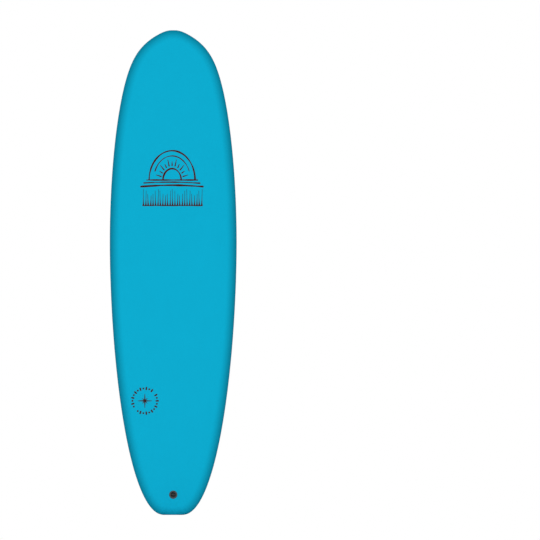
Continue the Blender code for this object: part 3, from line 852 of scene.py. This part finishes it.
def deck_drawing():
    """A rising sun over a horizon, in pen strokes."""
    ground, stretch = 0.031, 1.28  # the horizon's height, and that of the rays against their width
    first, last, rays = 14, 166, 11
    strokes = [
        drawn(line((-0.137, 0.002), (0.135, 0.002), 60, 0.006), 0.0072),
        drawn(line((-0.124, 0.018), (0.122, 0.017), 60, 0.004), 0.0050, 2.0),
        drawn(arc(0.101, 0.129, (0, ground), 1, 179), 0.0064, 1.0),
        drawn(arc(0.081, 0.106, (0, ground), 22, 158), 0.0042, 4.0),
        drawn(arc(0.040, 0.050, (0, ground), 0, 180), 0.0068, 3.0),
        drawn(line((-0.112, ground), (0.112, ground), 60), 0.0056, 5.0),
    ]
    for index, angle in enumerate(np.linspace(first, last, rays)):
        turn = math.radians(angle)
        reach = (0.050, 0.063) if index % 2 else (0.050, 0.072)
        ends = [(r * math.cos(turn), ground + stretch * r * math.sin(turn)) for r in reach]
        strokes.append(ribbon(line(*ends, 8), np.linspace(0.0058, 0.0026, 9)))
    return strokes


def spike_row():
    """A fringe of thin spikes with flared feet on a wavering line, whose tops rise and fall like a swell."""
    count, pitch = 25, 0.0107
    average, swell, swell_every = 0.060, 0.014, 6
    stem, flare, flare_height = 0.0009, 0.0040, 0.012
    most_lean, lean_beat = 0.0026, 2.4
    half = (count - 1) / 2 * pitch
    shapes = [drawn(line((-half, 0.001), (half, 0.001), 60), 0.0034, 2.0)]
    rise = np.linspace(0, 1, 16)
    for index in range(count):
        foot = index * pitch - half
        height = average + swell * math.cos(2 * math.pi * index / swell_every)
        lean = most_lean * math.sin(lean_beat * index)
        spread = stem + flare * np.exp(-rise * height / flare_height)
        middle = foot + lean * rise
        left = np.column_stack([middle - spread, rise * height])
        right = np.column_stack([middle + spread, rise * height])
        shapes.append(np.concatenate([right, left[::-1]]))
    return shapes


def emblem():
    """A ring of short bars and dots round an upright compass star."""
    shapes = []
    places, radius = 26, 0.0546
    dot_radius, half_bar, bar_width = 0.0040, 0.0042, 0.0068
    gap_at = 3
    for index in range(places):
        if index % (places // 2) == gap_at:
            continue
        turn = 2 * math.pi * index / places
        away = np.array([math.cos(turn), math.sin(turn)])
        if index % 2:
            shapes.append(circle(dot_radius, radius * away, 20))
        else:
            shapes.append(ribbon([(radius + step) * away for step in (-half_bar, 0, half_bar)], bar_width))
    long_ray, short_ray, tip_width = (0.030, 0.0064), (0.015, 0.0050), 0.0022
    for point in range(8):
        turn = math.pi / 4 * point
        reach, foot = (long_ray, short_ray)[point % 2]
        end = (reach * math.cos(turn), reach * math.sin(turn))
        shapes.append(ribbon(line((0, 0), end, 12), np.linspace(foot, tip_width, 13)))
    return shapes


def mark_outlines(grown=0.0):
    """Two halves of a tall lozenge, slipped past each other, with a round hole in each. Grown, they also
    fill the split between them."""
    wide, tall = MARK_HALF
    split, slip = 0.006, 0.020
    low = tall - 2 * slip
    tip_rounding, side_rounding = 0.003, 0.016
    reach = 0.045  # of a half, from its middle to its sides
    hole_radius, hole_aside = 0.0150, 0.033
    halves, holes = [], []
    for side in (1, -1):
        corners = side * np.array([(split, tall), (wide, slip), (split, -low)])
        middle = np.mean(corners, axis=0)
        loop = rounded_path(corners, [tip_rounding, side_rounding, tip_rounding], closed=True, steps=10)
        if grown:
            loop = middle + (loop - middle) * (1 + grown / reach)
        halves.append(dense(loop))
        holes.append(circle(hole_radius, (side * hole_aside, side * slip), 36))
    if grown:
        halves.append(dense(np.array([(-split, -low), (split, -low), (split, low), (-split, low)])))
    return halves, holes


def dense(loop):
    """A closed outline with points added wherever they are more than a step apart."""
    step = 0.008
    points = []
    for start, end in zip(loop, np.roll(loop, -1, axis=0)):
        count = max(1, math.ceil(np.linalg.norm(end - start) / step))
        points += [start + (end - start) * index / count for index in range(count)]
    return np.array(points)


def tick_row():
    """A scale of short bars along the centreline, in two groups."""
    shapes = []
    pitch, thick = 0.0128, 0.0060
    for low, high in ((0.414, 0.606), (0.632, 0.696)):
        count = round((high - low) / pitch) + 1
        for index, z in enumerate(np.linspace(low, high, count)):
            reach = (0.0085, 0.0040, 0.0062, 0.0040)[index % 4]
            shapes.append(ribbon(line((-reach, z), (reach, z), 2), thick))
    return shapes


# Hardware


def build_skins():
    plug_frame = surface_frame(DECK, 0.0, PLUG_FROM_TAIL, 90)
    bottom, step, top = -0.03, -PLUG_FLANGE - GAP, 0.01
    inner, outer = CUP_RADIUS + GAP, PLUG_RADIUS + GAP
    profile = [(0, bottom), (inner, bottom), (inner, step), (outer, step), (outer, top), (0, top)]
    plug_hole = place("plug_hole", turned(profile, CUP_SEGMENTS), plug_frame)
    box_holes = []
    for _, mount, _ in fin_frames().values():
        length, width = FLANGE_LENGTH + 2 * GAP, FLANGE_WIDTH + 2 * GAP
        rings = slab_rings(length, width, width / 2, [(0, -0.02), (0, top)], PILL_STEPS)
        box_holes.append(place("box_hole", loft(rings), mount))
    skins = (
        ("deck_foam", DECK, DECK_SKIN, [plug_hole], "deck_skin", "deck_foam"),
        ("bottom_slick", BOTTOM, BOTTOM_SKIN, box_holes, "bottom_skin", "slick_bottom"),
    )
    for name, face, depth, holes, node, material in skins:
        skin = place(name, half_skin(face, depth))
        mirror = skin.modifiers.new("other half", "MIRROR")
        mirror.use_axis = (True, False, False)
        mirror.merge_threshold = 0.00002
        apply_modifiers(skin)
        combine(skin, holes)
        if face == DECK:
            store_outline_distance(skin.data)
        finish_piece(skin, "board", material, [node], angle=40)


def build_leash_plug():
    plug_frame = surface_frame(DECK, 0.0, PLUG_FROM_TAIL, 90)
    ring = 0.00035  # height of the flat ring round the cup's mouth
    corners = [  # radius, height, and the corner's rounding in mm
        (0, -CUP_DEPTH, 0),
        (CUP_RADIUS, -CUP_DEPTH, 1.2),
        (CUP_RADIUS, -PLUG_FLANGE, 0.3),
        (PLUG_RADIUS, -PLUG_FLANGE, 0.2),
        (PLUG_RADIUS, 0.0, 0.6),
        (PLUG_RADIUS - 0.0012, ring, 0.5),
        (BORE_RADIUS + 0.0022, ring, 0.6),
        (BORE_RADIUS + 0.0014, 0.0, 0.3),
        (BORE_RADIUS, -0.0012, 0.6),
        (BORE_RADIUS, -BORE_DEPTH, 2.5),
        (0, -BORE_DEPTH, 0),
    ]
    profile = rounded_path([corner[:2] for corner in corners], [corner[2] * MM for corner in corners])
    cup = place("leash_cup", turned(profile, CUP_SEGMENTS), plug_frame)
    across = plug_frame @ Matrix.Translation((0, 0, -PIN_DEPTH)) @ Matrix.Rotation(math.pi / 2, 4, "Y")
    half = PIN_LENGTH / 2
    radius = PIN_RADIUS + GAP
    hole_profile = [(0, -half - GAP), (radius, -half - GAP), (radius, half + GAP), (0, half + GAP)]
    combine(cup, [place("pin_hole", turned(hole_profile, PIN_SEGMENTS), across)])
    finish_piece(cup, "board", "moulded_nylon", ["leash_plug_cup"])

    shoulder = BORE_RADIUS - 0.0005
    corners = [(0, -half), (PIN_RADIUS, -half), (PIN_RADIUS, -shoulder), (PIN_WAIST, -shoulder + 0.002)]
    corners += [(radius, -height) for radius, height in reversed(corners)]
    pin_profile = rounded_path(corners, [0, 0.3 * MM, 2 * MM, 2 * MM, 2 * MM, 2 * MM, 0.3 * MM, 0])
    pin = place("leash_pin", turned(pin_profile, PIN_SEGMENTS), across)
    finish_piece(pin, "board", "moulded_nylon", ["leash_plug_pin"])


def fin_frames():
    """For each fin its side, its mount on the flange's face, and the canted frame of its blade."""
    frames = {}
    for name, side in (("left", -1), ("centre", 0), ("right", 1)):
        x = side * FIN_SIDE_OFFSET
        z = FIN_SIDE_FROM_TAIL if side else FIN_CENTRE_FROM_TAIL
        mount = surface_frame(BOTTOM, x, z, -side * TOE_IN) @ Matrix.Translation((0, 0, -BOX_SINK))
        frames[name] = side, mount, mount @ Matrix.Rotation(math.radians(-side * CANT), 4, "X")
    return frames


def blade_mesh(flat_side):
    """A fin's blade from base to tip, with a fillet at its root and rounded edges."""
    count, fillet_rows, blade_rows = 30, 7, 44
    power, fullness = FIN_TAPER
    past_fillet, blunt_tip, fillet_spread = 0.035, 0.9992, 0.8
    from_front = (1 - np.cos(np.linspace(0, math.pi, count + 1))) / 2
    swell = np.sin(math.pi * from_front**FIN_FULLNESS)
    near_root = FIN_FOOT + ROOT_FILLET * (1 - np.cos(np.linspace(0, math.pi / 2, fillet_rows)))
    beyond = FIN_DEPTH * np.sin(np.linspace(past_fillet, math.pi / 2, blade_rows))
    outs = np.concatenate([near_root, beyond])
    rings = []
    for out in outs:
        share = min((out - FIN_FOOT) / (FIN_DEPTH - FIN_FOOT), blunt_tip)
        trailing = -FIN_BASE / 2 + FIN_BOW * math.sin(math.pi * share) - FIN_SWEEP * share**2
        chord = FIN_BASE * (1 - share**power) ** fullness
        full = (FIN_THICKNESS - EDGE_THICKNESS) * (1 - FIN_THINNING * share) / 2
        low = max(1 - (out - FIN_FOOT) / ROOT_FILLET, 0.0)
        flare = ROOT_FILLET * (1 - math.sqrt(1 - low**2)) * fillet_spread
        to_edge = np.minimum(from_front, 1 - from_front) * chord
        rounding = np.sqrt(1 - np.clip(1 - to_edge / (EDGE_THICKNESS / 2), 0, 1) ** 2)
        along = trailing - flare + (chord + 2 * flare) * (1 - from_front)
        sides = []
        for side in (1, -1):
            bulge = FLAT_SIDE if side == flat_side else 1.0
            edge = (EDGE_THICKNESS / 2 + flare) * rounding
            sides.append(np.column_stack([along, side * (edge + bulge * full * swell), 0 * along + out]))
        rings.append(np.concatenate([sides[0], sides[1][-2:0:-1]]))
    return loft(rings)


def screw_mesh():
    """A grub screw along Z with a helical thread, its cone's tip at the origin and a hexagonal socket."""
    segments, rows = 40, 56
    steepness, flatness = 1.6, 0.3  # of the thread's flanks, and of its crest
    turns = np.arange(segments) * 2 * math.pi / segments
    rings = [around(turns, CONE_TIP, 0)]
    for height in np.linspace(CONE_LENGTH, SCREW_LENGTH, rows + 1):
        phase = (height / THREAD_PITCH - turns / (2 * math.pi)) % 1
        groove = THREAD_DEPTH * np.clip(steepness * np.abs(2 * phase - 1) - flatness, 0, 1)
        end = min(height - CONE_LENGTH, SCREW_LENGTH - height)
        chamfer = max(THREAD_DEPTH - end, 0.0)
        radius = np.minimum(SCREW_RADIUS - groove, SCREW_RADIUS - chamfer)
        rings.append(around(turns, radius, height))
    screw = place("grub_screw", loft(rings))
    floor = SCREW_LENGTH - HEX_DEPTH
    hexagon = np.radians(60 * np.arange(6))
    flare, point = 0.25 * MM, 0.5 * MM
    mouth = (HEX_RADIUS + 2 * flare, SCREW_LENGTH + flare)
    key = (HEX_RADIUS, floor), (HEX_RADIUS, SCREW_LENGTH - flare), mouth
    rings = [around(hexagon, radius, height) for radius, height in key]
    combine(screw, [place("hex_key", loft(rings, ((0, 0, floor - point), None)))])
    mesh = screw.data
    bpy.data.objects.remove(screw, do_unlink=True)
    return mesh


def build_fin_box(name, mount, canted, screws):
    """A box's flange with a soft edge and a raised rim, and its body with a slot and two slanting bores."""
    body = rounded_path([(0.004, -BOX_DEPTH), (0, -BOX_DEPTH), (0, -FLANGE_THICKNESS)], 1.2 * MM)
    rings = slab_rings(BOX_LENGTH, BOX_WIDTH, BOX_WIDTH / 2, body, PILL_STEPS)
    flange = rounded_path([(0, -FLANGE_THICKNESS), (0, 0), (0.007, 0)], 0.7 * MM)[:-1]
    rings += slab_rings(FLANGE_LENGTH, FLANGE_WIDTH, FLANGE_WIDTH / 2, flange, PILL_STEPS)
    rim = rounded_path([(-0.0004, 0), (0, RIM_HEIGHT), (0.004, RIM_HEIGHT)], 0.3 * MM)
    rings += slab_rings(RIM_LENGTH, RIM_WIDTH, RIM_WIDTH / 2, rim, PILL_STEPS)
    box = place(f"fin_box_{name}_detailed", loft(rings), mount)
    mouth = [(0, -SLOT_DEPTH), (0, -SLOT_CHAMFER), (-SLOT_CHAMFER - 0.01, 0.01)]
    slot = slab_rings(SLOT_LENGTH, SLOT_WIDTH, SLOT_CORNER, mouth, SLOT_STEPS)
    cutters = [place("slot", loft(slot), canted)]
    radius = SCREW_RADIUS + BORE_CLEARANCE
    bottom, top = -0.0012, 0.015
    bore = turned([(0, bottom), (radius, bottom), (radius, top), (0, top)], PIN_SEGMENTS)
    cutters += [place("bore", bore, screw_place) for screw_place in screws]
    combine(box, cutters)
    finish_piece(box, "board", "moulded_nylon", [f"fin_box_{name}"])


def build_fins():
    grub = screw_mesh()
    for name, (side, mount, canted) in fin_frames().items():
        inward = -side or -1
        lean = Matrix.Rotation(math.radians(-inward * SCREW_TILT), 4, "X")
        screws = {}
        for along, end in ((1, "front"), (-1, "rear")):
            tip = Matrix.Translation((along * SCREW_SPACING / 2, inward * TIP_OFFSET, -TIP_DEPTH))
            screws[end] = canted @ tip @ lean
        build_fin_box(name, mount, canted, screws.values())

        fin = place(f"fin_{name}_blade", blade_mesh(-side), canted)
        foot = rounded_path([(0.003, -TAB_DEPTH), (0, -TAB_DEPTH), (0, 0.0012)], 0.9 * MM)
        tab_rings = slab_rings(TAB_LENGTH, TAB_WIDTH, TAB_CORNER, foot, SLOT_STEPS)
        combine(fin, [place("tab", loft(tab_rings), canted)], "UNION")
        fin.data.transform(canted)
        fin.matrix_world = Matrix.Identity(4)
        finish_piece(fin, f"{name}_fin", "fin_nylon", [f"fin_{name}"])

        for end, screw_place in screws.items():
            screw = place(f"grub_screw_{name}_{end}", grub.copy(), screw_place)
            node = f"fin_screw_{name}_{end}"
            finish_piece(screw, f"{name}_{end}_screw", "turned_steel", [node])


def build_artwork():
    halves, holes = mark_outlines()
    grown, _ = mark_outlines(HALO)
    surround = {"proud": INK_PROUD / 2, "grid": MARK_GRID}
    films = (
        ("deck_drawing", DECK, DRAWING, deck_drawing(), {}, "deck_ink"),
        ("deck_spikes", DECK, SPIKES, spike_row(), {}, "fading_ink"),
        ("deck_emblem", DECK, EMBLEM, emblem(), {}, "slate_ink"),
        ("mark_surround", BOTTOM, MARK, grown, surround, "yellow_ink"),
        ("bottom_mark", BOTTOM, MARK, halves, {"holes": holes, "grid": MARK_GRID}, "cyan_ink"),
        ("bottom_scale", BOTTOM, (0.0, 0.0), tick_row(), {}, "cyan_ink"),
    )
    for name, face, centre, shapes, options, ink in films:
        piece = film(name, face, centre, shapes, **options)
        finish_piece(piece, "board", ink)


def dress_hidden_nodes():
    """Gives the CAD pieces that stay, all inside the board, their materials."""
    for name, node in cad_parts.items():
        if node.hide_render:
            continue
        material = "dense_foam"
        if name.startswith("stringer"):
            material = "stringer_wood"
        elif name.startswith("foam_core"):
            material = "blank_foam"
        node.data.materials.clear()
        node.data.materials.append(MATERIALS[material])


# Light and camera


def add_suns():
    """Two very soft lights from far away, shining past the origin."""
    x, y, z = SUN_PLACE
    for name, facing in (("front_light", -1), ("back_light", 1)):
        data = bpy.data.lights.new(name, "SUN")
        data.energy = SUN_STRENGTH
        data.angle = math.radians(SUN_SOFTNESS)
        light = place(name, data)
        light.location = (x, facing * y, z)
        light.rotation_euler = (-light.location).to_track_quat("-Z", "Y").to_euler()


def build_studio():
    look = Look("pale_floor", 0.7, specular=0.2)
    look.colour(look.vary(FLOOR_WHITE, look.noise(0.4, 3.0), 0.01))
    corners = (-1, -1), (1, -1), (1, 1), (-1, 1)
    points = [(x * FLOOR_REACH, y * FLOOR_REACH, FLOOR_HEIGHT) for x, y in corners]
    floor = place("floor", mesh_from(points, [(0, 1, 2, 3)]))
    floor.data.materials.append(MATERIALS["pale_floor"])

    world = bpy.data.worlds.new("studio")
    bpy.context.scene.world = world
    world.use_nodes = True
    tree = world.node_tree
    surround = tree.nodes.new("ShaderNodeBackground")
    surround.inputs["Strength"].default_value = AMBIENT
    path = tree.nodes.new("ShaderNodeLightPath")
    choose = tree.nodes.new("ShaderNodeMixShader")
    tree.links.new(path.outputs["Is Camera Ray"], choose.inputs[0])
    for socket, background in ((1, surround), (2, tree.nodes["Background"])):
        background.inputs["Color"].default_value = (1, 1, 1, 1)
        tree.links.new(background.outputs[0], choose.inputs[socket])
    tree.links.new(choose.outputs[0], tree.nodes["World Output"].inputs["Surface"])

    add_suns()
    bpy.context.scene.view_settings.view_transform = "Standard"


def build_camera():
    """A level view of the deck, with the board to the left of the middle."""
    data = bpy.data.cameras.new("camera")
    data.type = "ORTHO"
    data.ortho_scale = VIEW_SIZE
    data.clip_end = 10 * CAMERA_AWAY
    camera = place("camera", data)
    camera.location = (VIEW_ASIDE * VIEW_SIZE, -CAMERA_AWAY, VIEW_HEIGHT)
    camera.rotation_euler = (math.pi / 2, 0, 0)
    bpy.context.scene.camera = camera


deck_material()
bottom_material()
nylon_material("moulded_nylon", CHARCOAL, 0.45, 0.25)
nylon_material("fin_nylon", FIN_GREY, 0.38, 0.15)
steel_material()
bead_foam_material("blank_foam", FOAM_WHITE, 4 * MM)
bead_foam_material("dense_foam", FOAM_TAN, 0.9 * MM)
wood_material()
ink_material("deck_ink", INK_BROWN, 0.55)
ink_material("fading_ink", INK_BROWN, 0.55, INK_FADED, (1.372, 1.420))
ink_material("slate_ink", INK_SLATE, 0.55)
ink_material("cyan_ink", BLUE, 0.3, pebbled=False)
ink_material("yellow_ink", YELLOW, 0.3, pebbled=False)

build_camera()
build_studio()
build_skins()
build_leash_plug()
build_fins()
build_artwork()
dress_hidden_nodes()
